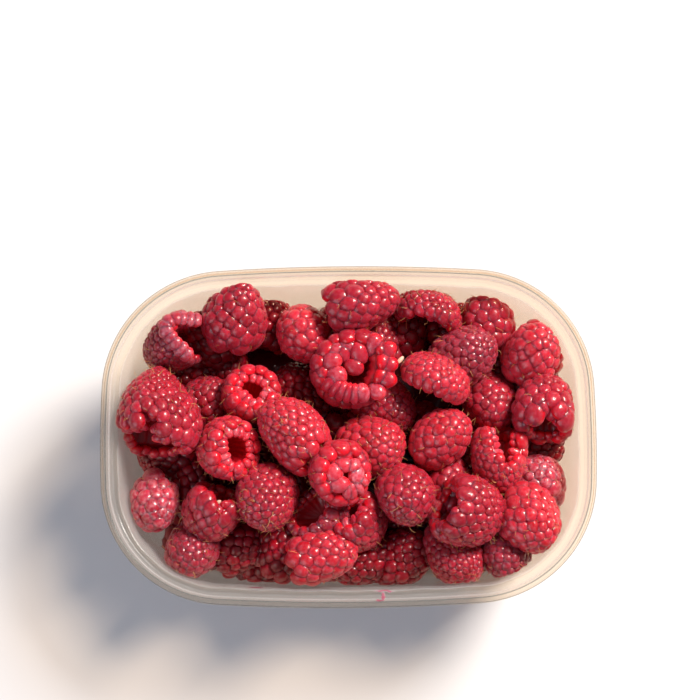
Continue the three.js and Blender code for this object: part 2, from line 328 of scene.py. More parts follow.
def addSmears(tree, place):  # smears of juice, ragged at their edges
    rag = noiseAt(tree, place, juice["ragScale"], juice["ragDetail"])
    spread = juice["ragged"] * mm
    ragged = addNode(tree, "ShaderNodeVectorMath", {0: rag.outputs["Color"], 2: place},
                     operation="MULTIPLY_ADD", in_1=(spread, spread, 0.0))
    stain = None
    for middle, half in juice["smears"]:
        shifted = [m + (juice["ragged"] / 2 if k < 2 else 0) for k, m in enumerate(middle)]
        off = addNode(tree, "ShaderNodeVectorMath", {0: ragged.outputs["Vector"]}, operation="SUBTRACT",
                      in_1=tuple(m * mm for m in shifted))
        scaled = addNode(tree, "ShaderNodeVectorMath", {0: off.outputs["Vector"]}, operation="DIVIDE",
                         in_1=tuple(h * mm for h in half))
        far = addNode(tree, "ShaderNodeVectorMath", {0: scaled.outputs["Vector"]}, operation="LENGTH")
        near = remap(tree, far.outputs["Value"], *juice["fade"], 0.0, juice["strength"])
        stain = near if stain is None else combine(tree, "MAXIMUM", stain, near)
    return stain


def makePlasticMaterial():
    material, tree, milk = newMaterial("clear_polypropylene")
    look = plasticLook
    place = addNode(tree, "ShaderNodeTexCoord").outputs["Object"]
    flow = noiseAt(tree, place, look["rippleScale"], look["rippleDetail"])
    ripple = addNode(tree, "ShaderNodeBump", {"Height": flow.outputs["Fac"]},
                     in_Strength=look["ripple"], in_Distance=look["rippleDepth"] * mm)
    stain = addSmears(tree, place)
    tree.links.new(mixColours(tree, stain, look["milk"], juice["tone"]), milk.inputs["Base Color"])
    tree.links.new(ripple.outputs["Normal"], milk.inputs["Normal"])
    setInputs(milk, look["surface"])
    # tight bends carry painted lines: a painted dark edge line where the attribute is positive, a painted
    # sheen and glint where it is negative
    line = addNode(tree, "ShaderNodeAttribute", attribute_name="line").outputs["Fac"]
    tint = mixColours(tree, line, look["clear"], look["paintedDarkLine"])
    clear = addNode(tree, "ShaderNodeBsdfTransparent", {"Color": tint})
    edge = addNode(tree, "ShaderNodeLayerWeight", in_Blend=look["edgeBlend"])
    amount = remap(tree, edge.outputs["Facing"], 0.0, 1.0, *look["milkiness"])
    glint = remap(tree, line, 0.0, -1.0, 0.0, look["paintedSheenLine"])
    covered = combine(tree, "MAXIMUM", amount, combine(tree, "MAXIMUM", glint, stain))
    both = addNode(tree, "ShaderNodeMixShader",
                   {0: covered, 1: clear.outputs["BSDF"], 2: milk.outputs["BSDF"]})
    tree.links.new(both.outputs["Shader"], tree.nodes["Material Output"].inputs["Surface"])
    return material


plasticMaterial = makePlasticMaterial()
print("materials made")

# two open berries' lips, petal by petal: place, azimuth and elevation it faces, azimuth its length
# runs along, half sizes, and shade
openBerryPetals = [
    ((3.5, 23.3, 49.6), (280, 62), 285, (2.9, 3.8, 2.5), -0.05),
    ((7.2, 25.6, 50.0), (250, 62), 255, (2.7, 3.9, 2.5), -0.15),
    ((10.6, 24.0, 49.9), (225, 65), 220, (2.6, 3.8, 2.4), -0.05),
    ((10.4, 20.6, 49.6), (180, 65), 185, (2.7, 4.0, 2.4), 0.1),
    ((10.1, 17.0, 49.3), (160, 65), 160, (2.8, 3.9, 2.4), 0.1),
    ((7.9, 13.7, 48.9), (130, 65), 130, (2.7, 3.2, 2.3), -0.25),
    ((0.3, 27.2, 49.4), (90, 60), 0, (2.3, 3.2, 2.2), -0.15),
    ((-4.3, 25.6, 49.3), (130, 60), 20, (2.2, 3.3, 2.2), -0.2),
    ((-5.5, 21.9, 50.0), (170, 65), 20, (2.8, 3.3, 2.5), -0.15),
    ((-0.6, 23.4, 49.1), (300, 60), 280, (2.5, 3.0, 2.3), 0.0),
    ((-3.9, 17.3, 50.0), (200, 70), 10, (3.2, 3.2, 2.6), -0.2),
    ((1.4, 19.8, 48.9), (240, 70), 160, (2.7, 3.3, 2.0), 0.3),
    ((-6.3, 14.7, 48.8), (215, 50), 40, (1.8, 3.3, 2.1), 0.0),
    ((-4.3, 13.1, 49.2), (225, 50), 50, (1.6, 3.5, 2.2), -0.05),
    ((-2.3, 12.0, 49.4), (240, 50), 62, (1.6, 3.5, 2.2), -0.1),
    ((-0.2, 11.4, 49.5), (255, 50), 75, (1.6, 3.5, 2.2), -0.05),
    ((1.8, 11.1, 49.5), (265, 50), 85, (1.6, 3.5, 2.2), -0.15),
    ((4.3, 11.4, 49.4), (280, 55), 100, (2.4, 3.2, 2.4), -0.3),
    ((-8.6, 18.6, 48.0), (185, 35), 90, (2.4, 2.6, 2.0), 0.2),
    ((4.4, 28.8, 48.4), (90, 45), 0, (1.9, 2.5, 2.1), 0.1),
    ((8.6, 28.2, 48.4), (70, 45), 340, (1.9, 2.4, 2.1), 0.1),
    ((12.8, 22.4, 48.2), (10, 45), 90, (2.0, 2.4, 2.1), 0.2),
    ((12.8, 18.8, 47.8), (-5, 45), 90, (2.0, 2.4, 2.1), 0.3),
]
puckeredPetals = [
    ((-1.5, -4.3, 51.0), (85, 50), 0, (2.9, 3.5, 2.7), 0.0),
    ((3.6, -5.7, 49.2), (45, 45), 120, (2.4, 3.1, 2.3), 0.0),
    ((-6.0, -6.8, 51.2), (130, 55), 60, (2.4, 3.2, 2.2), 0.1),
    ((-1.4, -8.4, 52.2), (90, 75), 270, (2.8, 2.5, 2.0), -0.1),
    ((1.9, -8.8, 51.8), (45, 70), 240, (2.1, 2.5, 1.8), -0.2),
    ((-5.0, -11.2, 52.5), (190, 70), 80, (3.0, 3.1, 2.4), -0.15),
    ((-8.6, -11.2, 50.6), (185, 45), 90, (2.4, 3.2, 2.2), 0.1),
    ((-3.0, -15.2, 51.6), (250, 60), 10, (2.6, 3.5, 2.3), -0.15),
    ((3.2, -11.8, 51.0), (-10, 55), 90, (2.5, 3.3, 2.4), -0.35),
    ((-0.5, -17.2, 50.0), (265, 50), 85, (1.6, 3.0, 2.0), -0.15),
    ((1.4, -16.8, 49.8), (-65, 50), 105, (1.6, 3.1, 2.0), -0.2),
    ((3.2, -15.5, 49.6), (-45, 50), 130, (1.6, 3.0, 2.0), -0.3),
    ((4.6, -13.8, 49.4), (-30, 45), 150, (1.6, 2.7, 2.0), -0.3),
    ((-7.2, -15.0, 50.4), (215, 45), 120, (2.5, 3.0, 2.2), 0.1),
    ((5.2, -8.4, 48.8), (20, 35), 90, (2.1, 2.6, 2.1), 0.0),
]
curledLip = [  # a third berry's lip, as the curve that its narrow petals stand on
    (-44.2, 35.4, 45.2), (-49.6, 35.8, 47.2), (-53.4, 34.2, 48.4), (-54.2, 31.8, 48.8), (-51, 27.6, 48.4),
    (-46, 22.8, 46.0),
]
usualBerry = {  # what a berry has unless its own row says otherwise
    "blunt": 2.2,  # how blunt its tip is
    "taper": 0.42,  # how much smaller the drupelets are towards the tip
    "plump": 1,  # how large they are for their distance
    "pale": 0,  # how much paler they are
    "hairs": 0.36,  # hairs for each drupelet
    "mouth": 0.45,  # the opening's share of the width
    "hollow": 0.68,  # how far up the hollow reaches
    "petal": 3.6,  # the distance between the drupelets folded over the lip
    "fold": 0.85,  # how far in their middles lie at most, in petals
    "tears": (),  # where the lip is torn: azimuth, elevation, half angle, share of the length
    "petals": None,  # a lip given petal by petal
    "band": None,  # a lip given as a curve
}


def newBerry(x, y, z, azimuth, elevation, length, width, kind, finish, spacing, **own):
    # middle; where the tip points, in degrees; sizes; whole, open or torn; distance between drupelets
    start = 0.0 if kind == "whole" else 0.13  # how far up the drupelets begin
    return {**usualBerry, "place": (x, y, z), "azimuth": azimuth, "elevation": elevation,
            "length": length, "width": width, "kind": kind, "finish": finish, "spacing": spacing,
            "start": start, **own}


chosenBerries = [
    newBerry(-52.8, 29, 37, 190, -42, 19, 17, "open", "dusky", 2.3, blunt=2.3, mouth=0.62, band=curledLip,
             tears=[(10, -48, 62, 0.45)]),
    newBerry(-32.8, 38.3, 43.5, 80, 40, 19.8, 19.4, "whole", "ripe", 4.05, blunt=1.65),
    newBerry(-13.2, 31.6, 38, 225, 68, 15, 16.8, "whole", "bright", 3.3, taper=-0.5),
    newBerry(-55.6, 9, 43, 88, -10, 26, 25.2, "open", "ripe", 3.1, blunt=1.6, mouth=0.62, petal=3,
             taper=0.75, hairs=0.5, tears=[(180, 82, 24, 0.24), (180, 30, 62, 0.15)]),
    newBerry(-42, 12.5, 30, 60, 40, 18, 17, "whole", "ripe", 3.4),
    newBerry(-28.6, 12.8, 36, 250, -75, 17, 17.5, "open", "bright", 3.2, mouth=0.42, petal=2.8, fold=1.25),
    newBerry(-14, 15, 27, 120, 20, 20, 18, "whole", "deep", 3.4),
    newBerry(-17, 2.4, 44.5, 135, 5, 22, 18.5, "whole", "bright", 3.0, blunt=2.1, hairs=0.7),
    newBerry(-36.2, -3.2, 40, 170, -58, 18, 18.5, "open", "bright", 2.8, mouth=0.46, petal=2.3, fold=1.15,
             hairs=0.7),
    newBerry(4.4, 39.6, 44.5, 8, 12, 22, 17.5, "whole", "ripe", 3.8, blunt=1.9),
    newBerry(24.2, 38.8, 38, 80, -16, 12, 19.8, "open", "ripe", 2.5, mouth=0.7, petal=2.6, hairs=0.8,
             tears=[(260, -74, 85, 0.5)]),
    newBerry(42, 37, 35, 100, 30, 17, 16, "whole", "ripe", 4.4),
    newBerry(55.8, 26, 40, 45, 60, 18, 18, "whole", "bright", 4.2, blunt=2.3),
    newBerry(35.2, 25, 39, 20, 40, 18, 17.5, "whole", "dusky", 3.2, blunt=2.3),
    newBerry(26.0, 18.6, 43.5, 60, 8, 11.5, 21, "open", "bright", 2.8, mouth=0.68, petal=2.7),
    newBerry(43, 10.6, 33, 250, 60, 17, 17, "whole", "ripe", 3.9),
    newBerry(58.6, 9.6, 40, 90, -18, 18, 19, "open", "ripe", 4.0, mouth=0.6, petal=3.3,
             tears=[(270, 50, 30, 0.16)]),
    newBerry(11.9, 9.5, 34, -20, 40, 18, 17, "whole", "ripe", 3.2),
    newBerry(7.8, -3, 39.5, -20, 45, 18, 18, "whole", "bright", 3.5, hairs=0.8),
    newBerry(27.8, 0.5, 41, 45, 50, 18, 16.5, "whole", "bright", 3.9),
    newBerry(44, -6.4, 39, 265, -5, 20, 16, "torn", "bright", 2.6, mouth=0.62, petal=2.4, plump=1.16,
             tears=[(40, 62, 46, 0.5)]),
    newBerry(9.5, 30.5, 31, 80, 30, 16, 15, "whole", "ripe", 3.4),
    newBerry(-58.2, -19.0, 34, 262, 25, 16.6, 13.6, "whole", "faded", 3.9, blunt=2.4),
    newBerry(-40.4, -22.2, 37, 245, -24, 16.5, 17.5, "open", "ripe", 3.5, mouth=0.6, petal=3,
             tears=[(60, 60, 22, 0.1)]),
    newBerry(-24, -18, 42, 270, 60, 18, 18, "whole", "ripe", 3.4, blunt=2.3, hairs=1.1),
    newBerry(-3.4, -10.4, 43.5, 145, -62, 17.5, 18.5, "open", "bright", 3.4, mouth=0.14, start=0.2,
             pale=0.1, hairs=0.8, petals=puckeredPetals),
    newBerry(-8, -23.4, 33, -40, -50, 16, 18, "open", "dusky", 2.8, mouth=0.66, petal=2.1, fold=1.3,
             hollow=0.4),
    newBerry(-7.2, -33.6, 39, 15, 15, 20, 15.5, "whole", "bright", 3.7, blunt=2.0),
    newBerry(-46.5, -32.5, 34, 240, 55, 17, 16, "whole", "dusky", 3.2),
    newBerry(4, -25, 35, -50, -50, 17, 16.5, "open", "ripe", 2.9, mouth=0.4, petal=2.2, fold=1.15),
    newBerry(17, -17.6, 42, 270, 60, 17.5, 17.5, "whole", "ripe", 3.6, blunt=2.3, hairs=0.6),
    newBerry(29.6, -13.6, 33, 100, 10, 18, 16, "whole", "ripe", 3.8),
    newBerry(35.8, -22, 42, -15, -28, 19, 20.2, "open", "ripe", 3.1, mouth=0.6, petal=3.2, taper=0.75,
             hairs=0.6),
    newBerry(56, -13, 32, 80, 30, 17, 16.5, "whole", "faded", 4.0, blunt=2.3),
    newBerry(53.7, -25, 40, -60, 35, 18.5, 18.6, "whole", "bright", 3.7, blunt=1.9, hairs=0.6),
    newBerry(47, -34, 34, 270, 45, 17, 15, "whole", "dusky", 3.2),
    newBerry(31.5, -35, 33, -60, 40, 18, 16.5, "whole", "ripe", 2.7, hairs=0.5),
    newBerry(2, 20.6, 41, 60, -78, 18, 23.5, "open", "ripe", 4.0, mouth=0.5, start=0.2,
             petals=openBerryPetals),
]
hiddenBerries = [  # deeper ones that show in the gaps: middle, azimuth and elevation, length, width
    (17, -34, 26.5, 30, 20, 18, 16.5), (3.5, -35, 26, 200, 20, 18, 16), (-33, -31, 26, 20, 20, 18, 16),
    (-19.5, -30.5, 28, 60, 30, 18, 16), (-55, -3, 25, 180, 10, 18, 17), (56, 0, 26, 0, 10, 18, 17),
    (56, 18, 27, 20, 20, 17, 16), (31, 36, 26, 40, 20, 17, 16), (-24, 37, 28, 80, 20, 17, 16),
    (20.5, 5, 24, 150, 15, 18, 17), (-38, 25, 24, 300, 20, 18, 17), (-45.5, -10, 24, 60, 25, 18, 17),
    (-3, 34, 27, 80, 10, 18, 17), (16.5, 36.5, 28.5, 100, 10, 17, 16.5), (-43.5, 32, 30, 150, 20, 17, 16.5),
    (-49, 20.5, 24.5, 200, 15, 16, 15.5), (45, 23.5, 25, 120, 20, 17, 16),
]
# the deep finish is a darker copy of the skin, painted shade for berries low in the heap
chosenBerries += [newBerry(*row, "whole", "deep", 3.5) for row in hiddenBerries]
layers = {  # the unseen berries: a ring along the wall and rows inside it, at two heights
    "length": 18.5, "width": 17.5, "spacing": 4.0, "jitter": 0.7, "tilt": 40,
    "lengths": (0.94, 0.12), "widths": (0.94, 0.1),
    "clear": 13.5,  # nearer than this to a chosen berry, none is laid
    "baseRing": 15, "baseRows": ((-28, -9.5, 9.5, 28), (-9, 9)),
    "middleHeight": 25, "middleRing": 16, "middleRows": ((-36, -18, 0, 18, 36), (-17, 0, 17)),
}


def spacedAlong(inset, count, phase):  # plan points evenly spaced along the tub's outline
    loop = plainLoop[:, :2] - inset * plainLoop[:, 2:]
    loop = np.vstack([loop, loop[:1]])
    reach = np.concatenate([[0], np.cumsum(np.linalg.norm(np.diff(loop, axis=0), axis=1))])
    wanted = reach[-1] * (((np.arange(count) + phase) / count) % 1)
    return np.stack([np.interp(wanted, reach, loop[:, k]) for k in (0, 1)], 1)


def layerPlaces(height, ring, phase, rows):
    reach = tubShape["gap"] + layers["width"] / 2 + layers["jitter"]
    places = [(*p, height) for p in spacedAlong(wallInsetAt(height) + reach, ring, phase)]
    return places + [(x, y, height) for x in rows[0] for y in rows[1]]


def lowerBerries():
    jitter = layers["jitter"]
    places = layerPlaces(heapFloor + layers["width"] / 2, layers["baseRing"], 0, layers["baseRows"])
    places += layerPlaces(layers["middleHeight"], layers["middleRing"], 0.5, layers["middleRows"])
    chosen = np.array([berry["place"] for berry in chosenBerries])
    laid = []
    for seed, (x, y, z) in enumerate(places):
        if np.linalg.norm(chosen - np.array((x, y, z)), axis=1).min() < layers["clear"]:
            continue
        pick = [float(scatter(seed + 50 * k)) for k in range(4)]
        laid.append(newBerry(x + jitter * (2 * pick[0] - 1), y + jitter * (2 * pick[1] - 1), z,
                             360 * pick[2], layers["tilt"] * (pick[3] - 0.5),
                             layers["length"] * float(scatterIn(seed + 200, *layers["lengths"])),
                             layers["width"] * float(scatterIn(seed + 250, *layers["widths"])),
                             "whole", "deep", layers["spacing"]))
    return laid


berryForm = {
    "widest": 0.32, "lip": 0.2, "uneven": 0.5,
    "drupeletWidth": 0.63, "drupeletHeight": 0.52,  # half sizes, as a share of the room around each
    "longer": 0.24, "room": (0.55, 1.45), "packing": 0.866, "startMargin": 0.7,
    "scatter": 0.32, "lead": 0.7, "crowding": 0.6, "push": 0.22, "settling": 18,
    "reach": (0.8, 0.4), "sizes": (0.93, 0.14), "shade": 0.8, "mouthWaves": (0.13, 0.08),
    "sink": 0.8,  # how deep a drupelet's middle sits, as a share of its half height
    "curveSteps": 400, "wholeSides": 20, "openSides": 64,
}


def berryProfile(along, blunt):  # half width, as a share, from the opening (0) to the tip (1)
    widest = berryForm["widest"]
    low = 1 - berryForm["lip"] * (np.clip(widest - along, 0, None) / widest) ** 2
    high = np.clip((along - widest) / (1 - widest), 0, 1)
    return low * np.clip(1 - high ** blunt, 0, None) ** (0.5 + 0.6 * max(0, 2 - blunt))


def berryAxes(azimuth, elevation, spin):  # turns a berry's own +Z to where its tip points
    azimuth, elevation = math.radians(azimuth), math.radians(elevation)
    tip = Vector((math.cos(elevation) * math.cos(azimuth), math.cos(elevation) * math.sin(azimuth),
                  math.sin(elevation)))
    turn = Vector((0, 0, 1)).rotation_difference(tip).to_matrix() @ Matrix.Rotation(spin, 3, "Z")
    return np.array(turn)


def tearAt(berry, axes, angle):  # how far up the berry its torn edge reaches, at angles round its axis
    rise = np.zeros_like(angle)
    for azimuth, elevation, half, depth in berry["tears"]:
        a, e = math.radians(azimuth), math.radians(elevation)
        side = axes.T @ np.array([math.cos(e) * math.cos(a), math.cos(e) * math.sin(a), math.sin(e)])
        off = (angle - math.atan2(side[1], side[0]) + math.pi) % math.tau - math.pi
        rise = np.maximum(rise, depth * np.clip(1 - (off / math.radians(half)) ** 2, 0, None) ** 0.7)
    return rise


def mouthAt(berry, seed, angle):  # the opening's half width round the axis, never quite round
    sway = scatter(seed * 3 + 1) * math.tau
    oval, threefold = berryForm["mouthWaves"]
    wave = 1 + oval * np.cos(2 * angle + sway) + threefold * np.cos(3 * angle - 2 * sway)
    return berry["mouth"] * berry["width"] / 2 * wave


def settle(points, reaches, bend, reach, last):
    # drupelets push each other apart over the berry's skin until they are evenly packed
    wanted = berryForm["crowding"] * (reaches[:, None] + reaches[None])
    for _ in range(berryForm["settling"]):
        apart = points[:, None] - points[None]
        far = np.linalg.norm(apart, axis=2) + 1e-6
        push = np.clip(wanted - far, 0, None) / far
        np.fill_diagonal(push, 0)
        points = points + berryForm["push"] * (apart * push[..., None]).sum(1)
        polar = np.minimum(np.arctan2(np.hypot(points[:, 0], points[:, 1]), points[:, 2]), last)
        turn = np.arctan2(points[:, 1], points[:, 0])
        size = np.interp(polar, bend, reach)
        points = np.stack([size * np.sin(polar) * np.cos(turn), size * np.sin(polar) * np.sin(turn),
                           size * np.cos(polar)], 1)
    return points


def skinCurve(berry):
    # the berry's half section from its tip down: the share of its length, the angle and reach from its
    # middle, the skin's slope, and the skin's area from the tip, weighed by how small its drupelets are
    length, width, taper = berry["length"], berry["width"], berry["taper"]
    along = np.linspace(1, 0.0, berryForm["curveSteps"])
    radius = berryProfile(along, berry["blunt"]) * width / 2
    height = (along - 0.5) * length
    bend, reach = np.arctan2(radius, height), np.hypot(radius, height)
    slope = np.gradient(height), -np.gradient(radius)
    ringArea = np.hypot(np.diff(radius), np.diff(height)) * (radius[1:] + radius[:-1]) * math.pi
    ringArea = ringArea / (1 + taper * (0.5 - along[1:])) ** 2
    return along, bend, reach, slope, np.concatenate([[0], np.cumsum(ringArea)])


def drupeletField(berry, axes, seed):
    # the drupelets over a berry's outside: places, facing and lead directions, half sizes, shades
    form, length, spacing, start = berryForm, berry["length"], berry["spacing"], berry["start"]
    along, bend, reach, slope, area = skinCurve(berry)
    last = np.interp(start, along[::-1], bend[::-1])
    whole = np.interp(start, along[::-1], area[::-1])
    count = int(whole / (form["packing"] * spacing ** 2))
    number = np.arange(count)
    u = np.interp((number + 0.5) / count * whole, area, along)
    angle = number * goldenAngle
    size = berryProfile(u, berry["blunt"]) * berry["width"] / 2
    points = np.stack([size * np.cos(angle), size * np.sin(angle), (u - 0.5) * length], 1)
    jolt = np.stack([scatter(number * 3 + k + seed * 17) - 0.5 for k in range(3)], 1)
    reaches = spacing * (1 + berry["taper"] * (0.5 - u)) * scatterIn(number * 7 + seed * 23, *form["reach"])
    points = settle(points + 2 * form["scatter"] * spacing * jolt, reaches, bend, reach, last)
    polar = np.arctan2(np.hypot(points[:, 0], points[:, 1]), points[:, 2])
    turn = np.arctan2(points[:, 1], points[:, 0])
    out, up = [-np.interp(polar, bend, part) for part in slope]
    normals = unit(np.stack([out * np.cos(turn), out * np.sin(turn), up], 1))
    far = np.linalg.norm(points[:, None] - points[None], axis=2) + 1e3 * np.eye(count)
    least, most = form["room"]
    room = np.clip(np.sort(far, axis=1)[:, :5].mean(1), least * spacing, most * spacing)
    longer = 1 + form["longer"] * scatter(number * 11 + seed * 29)
    sizes = np.stack([form["drupeletWidth"] * np.ones(count), form["drupeletWidth"] * longer,
                      form["drupeletHeight"] * np.ones(count)], 1)
    sizes = room[:, None] * berry["plump"] * sizes
    leads = np.array([0, 0, 1]) + form["lead"] * jolt
    shades = form["shade"] * scatter(number * 5 + seed * 13) - berry["pale"]
    kept = points[:, 2] / length + 0.5 > tearAt(berry, axes, turn) + start * form["startMargin"]
    return [part[kept] for part in (points, normals, leads, sizes, shades)]


lipForm = {
    "height": 1.0, "uneven": 1.1, "irregular": 0.35,
    "lean": 0.42,  # how far outwards the petals face
    "halfWidth": 0.6, "overhang": 0.25,  # in petals
    "sizes": (0.9, 0.25), "shade": (0.5, 0.25),
}


def lipField(berry, axes, seed):
    # long drupelets that fold over the edge of an open berry, all along its lip and its tears
    form, petal = lipForm, berry["petal"]
    angle = np.linspace(0, math.tau, 361)
    rise = tearAt(berry, axes, angle)
    outer = berryProfile(rise, berry["blunt"]) * berry["width"] / 2
    inner = mouthAt(berry, seed, angle) * (1 - rise)
    half = np.minimum((outer - inner) / 2, berry["fold"] * petal)
    middle = outer - half
    height = (rise - 0.5) * berry["length"] + form["height"]
    curve = np.stack([middle * np.cos(angle), middle * np.sin(angle), height], 1)
    steps = np.linalg.norm(np.diff(curve, axis=0), axis=1)
    travelled = np.concatenate([[0], np.cumsum(steps)])
    count = round(travelled[-1] / petal)
    number = np.arange(count)
    wanted = (number + form["irregular"] * scatter(number + seed * 3)) / count * travelled[-1]
    points, ahead, before = [
        np.stack([np.interp(wanted + shift, travelled, curve[:, k]) for k in range(3)], 1)
        for shift in (0, 0.3, -0.3)]
    points[:, 2] += form["uneven"] * (scatter(number + seed * 5) - 0.5)
    tangent = unit(ahead - before + 1e-9)
    turn = np.arctan2(points[:, 1], points[:, 0])
    radial = np.stack([np.cos(turn), np.sin(turn), np.zeros(count)], 1)
    normals = form["lean"] * radial - [0, 0, 1]
    normals = unit(normals - tangent * (normals * tangent).sum(1, keepdims=True))
    leads = radial - tangent * (radial * tangent).sum(1, keepdims=True)
    reach = np.interp(wanted, travelled, half) + form["overhang"] * petal
    across = np.full(count, petal * form["halfWidth"])
    sizes = np.stack([across, reach, across], 1)
    sizes *= scatterIn(number * 9 + seed, *form["sizes"])[:, None]
    spread, paler = form["shade"]
    shades = spread * scatter(number * 4 + seed) - paler - berry["pale"]
    return points, normals, leads, sizes, shades


bodyForm = {
    "under": 0.7,  # how deep under the drupelets' middles the flesh lies, in half spacings
    "lowEnd": (0.08, 0.45, 0.05),  # a whole berry's: its middle's height, its ring's half width and height
    "hollowRings": ((0.3, 0.96), (0.62, 0.8), (0.9, 0.5), (1.0, 0.26)),  # share of the mouth, of the height
    "hollowDome": 0.02, "narrowing": 0.5,  # how much narrower the hollow is where its edge is torn
    "innerEdge": (0.1, 0.14), "outerEdge": (0.12, 0.13, 0.1),  # two rings on the lip, under its petals
    "wallRings": (0.16, 0.27, 0.42, 0.6, 0.76, 0.88, 0.94),
    "ribs": 16, "ribDepth": 0.045, "tearMost": 0.9, "tipHeight": 0.46,
    # painted shade: the flesh between the drupelets is darkened part way, and a hollow the more, the deeper
    # it reaches
    "shade": 0.4, "hollowShade": 1.1,
}


def bodySkin(berry, axes, seed):
    # the flesh under the drupelets: a closed lathe, hollow where the berry is open
    length, width, blunt, form = berry["length"], berry["width"], berry["blunt"], bodyForm
    whole = berry["kind"] == "whole"
    inner = 1 - form["under"] * berry["spacing"] / width
    sides = berryForm["wholeSides" if whole else "openSides"]
    angle = np.arange(sides) / sides * math.tau
    rise = tearAt(berry, axes, angle)
    if whole:
        first, share, height = form["lowEnd"]
        rings = [(np.full(sides, share), np.full(sides, height))]
    else:
        mouth = mouthAt(berry, seed, angle) / (width / 2)
        ribs = 1 + form["ribDepth"] * np.cos(form["ribs"] * angle)
        narrow = 1 - form["narrowing"] * rise
        first = berry["hollow"] + form["hollowDome"]
        torn = np.minimum(rise, form["tearMost"])
        rings = [(share * mouth * ribs * narrow, torn + (first - torn) * at)
                 for share, at in form["hollowRings"]]
        aside, up = form["innerEdge"]
        rings.append(((mouth + aside) * narrow, rise + up))
        aside, up, widthAt = form["outerEdge"]
        rings.append((berryProfile(rise + widthAt, blunt) * (inner - aside), rise + up))
    for at in form["wallRings"]:
        height = rise + (1 - rise) * at
        rings.append((berryProfile(height, blunt) * inner, height))
    points = [(0, 0, (first - 0.5) * length)]
    for share, height in rings:
        reach = share * width / 2
        points += list(zip(reach * np.cos(angle), reach * np.sin(angle), (height - 0.5) * length))
    points.append((0, 0, form["tipHeight"] * length))
    # painted shade: the flesh part way to the dark colour, the hollow darker still
    shade = np.full(len(points), form["shade"])
    if not whole:
        shade[:1 + len(form["hollowRings"]) * sides] = form["hollowShade"] * berry["hollow"]
    return np.array(points), ringSkin(sides, len(rings)), shade


def bendBerry(points, seed):  # no two berries are quite the same: a slow swell, and a lean
    wave = np.array([scatter(seed * 3 + k) for k in range(6)]) * math.tau
    x, y, z = points.T
    return points + berryForm["uneven"] * np.stack([
        np.sin(y * 0.22 + wave[0]) + 0.6 * np.sin(z * 0.35 + wave[1]),
        np.sin(z * 0.22 + wave[2]) + 0.6 * np.sin(x * 0.35 + wave[3]),
        np.sin(x * 0.22 + wave[4]) + 0.6 * np.sin(y * 0.35 + wave[5])], 1)


def facing(normals, leads):  # quaternions that turn +Z to each normal, with +Y towards its lead
    turns = []
    for normal, lead in zip(normals, leads):
        z, lead = Vector(normal), Vector(lead)
        y = lead - z * z.dot(lead)
        y = y.normalized() if y.length > 1e-3 else z.orthogonal().normalized()
        turns.append(Matrix((y.cross(z), y, z)).transposed().to_quaternion())
    return np.array(turns)


def makeScatterTree(name):  # Geometry Nodes: one drupelet or hair at every point
    tree = bpy.data.node_groups.new(name, "GeometryNodeTree")
    for label, kind in (("Geometry", "Geometry"), ("Piece", "Object"), ("Unevenness", "Float"),
                        ("Lump size", "Float"), ("Material", "Material")):
        tree.interface.new_socket(label, in_out="INPUT", socket_type="NodeSocket" + kind)
    tree.interface.new_socket("Geometry", in_out="OUTPUT", socket_type="NodeSocketGeometry")
    start = addNode(tree, "NodeGroupInput").outputs
    piece = addNode(tree, "GeometryNodeObjectInfo", {"Object": start["Piece"]})
    turn = addNode(tree, "GeometryNodeInputNamedAttribute", data_type="QUATERNION", in_Name="turn")
    size = addNode(tree, "GeometryNodeInputNamedAttribute", data_type="FLOAT_VECTOR", in_Name="size")
    placed = addNode(tree, "GeometryNodeInstanceOnPoints", {
        "Points": start["Geometry"], "Instance": piece.outputs["Geometry"],
        "Rotation": turn.outputs["Attribute"], "Scale": size.outputs["Attribute"]})
    real = addNode(tree, "GeometryNodeRealizeInstances", {"Geometry": placed.outputs["Instances"]})
    place = addNode(tree, "GeometryNodeInputPosition")
    noise = addNode(tree, "ShaderNodeTexNoise", {"Vector": place.outputs["Position"],
                                                 "Scale": start["Lump size"]}, in_Detail=1.0)
    centred = addNode(tree, "ShaderNodeVectorMath", {0: noise.outputs["Color"]},
                      operation="SUBTRACT", in_1=(0.5, 0.5, 0.5))
    offset = addNode(tree, "ShaderNodeVectorMath", {0: centred.outputs["Vector"],
                                                    "Scale": start["Unevenness"]}, operation="SCALE")
    moved = addNode(tree, "GeometryNodeSetPosition", {"Geometry": real.outputs["Geometry"],
                                                      "Offset": offset.outputs["Vector"]})
    smooth = addNode(tree, "GeometryNodeSetShadeSmooth", {"Geometry": moved.outputs["Geometry"]})
    finished = addNode(tree, "GeometryNodeSetMaterial", {"Geometry": smooth.outputs["Geometry"],
                                                         "Material": start["Material"]})
    addNode(tree, "NodeGroupOutput", {"Geometry": finished.outputs["Geometry"]})
    return tree


scatterTree = makeScatterTree("scatter_on_berries")


def runTree(points, values, name):  # sets the tree's named inputs, then keeps the plain mesh
    modifier = points.modifiers.new(name, "NODES")
    modifier.node_group = scatterTree
    for item in scatterTree.interface.items_tree:
        if item.in_out == "INPUT" and item.name in values:
            modifier[item.identifier] = values[item.name]
    points.update_tag()
    graph = bpy.context.evaluated_depsgraph_get()
    mesh = bpy.data.meshes.new_from_object(points.evaluated_get(graph), depsgraph=graph)
    points.modifiers.clear()
    old = points.data
    points.data = mesh
    bpy.data.meshes.remove(old)
    return points


def scatterPieces(name, spots, turns, sizes, settings, shades=None):
    extra = {"size": ("FLOAT_VECTOR", sizes * mm)}
    if shades is not None:
        extra["shade"] = ("FLOAT", shades)
    cloud = newMesh(name, spots, [], extra)
    layer = cloud.data.attributes.new("turn", "QUATERNION", "POINT")
    layer.data.foreach_set("value", turns.astype(np.float32).ravel())
    return runTree(cloud, settings, name)


drupeletForm = {
    "fineSides": 12, "fineAngles": (19, 40, 60, 82, 105),  # from its top down, in degrees
    "plainSides": 8, "plainAngles": (30, 60, 95),
    "squareness": 0.8, "below": 0.6,
}


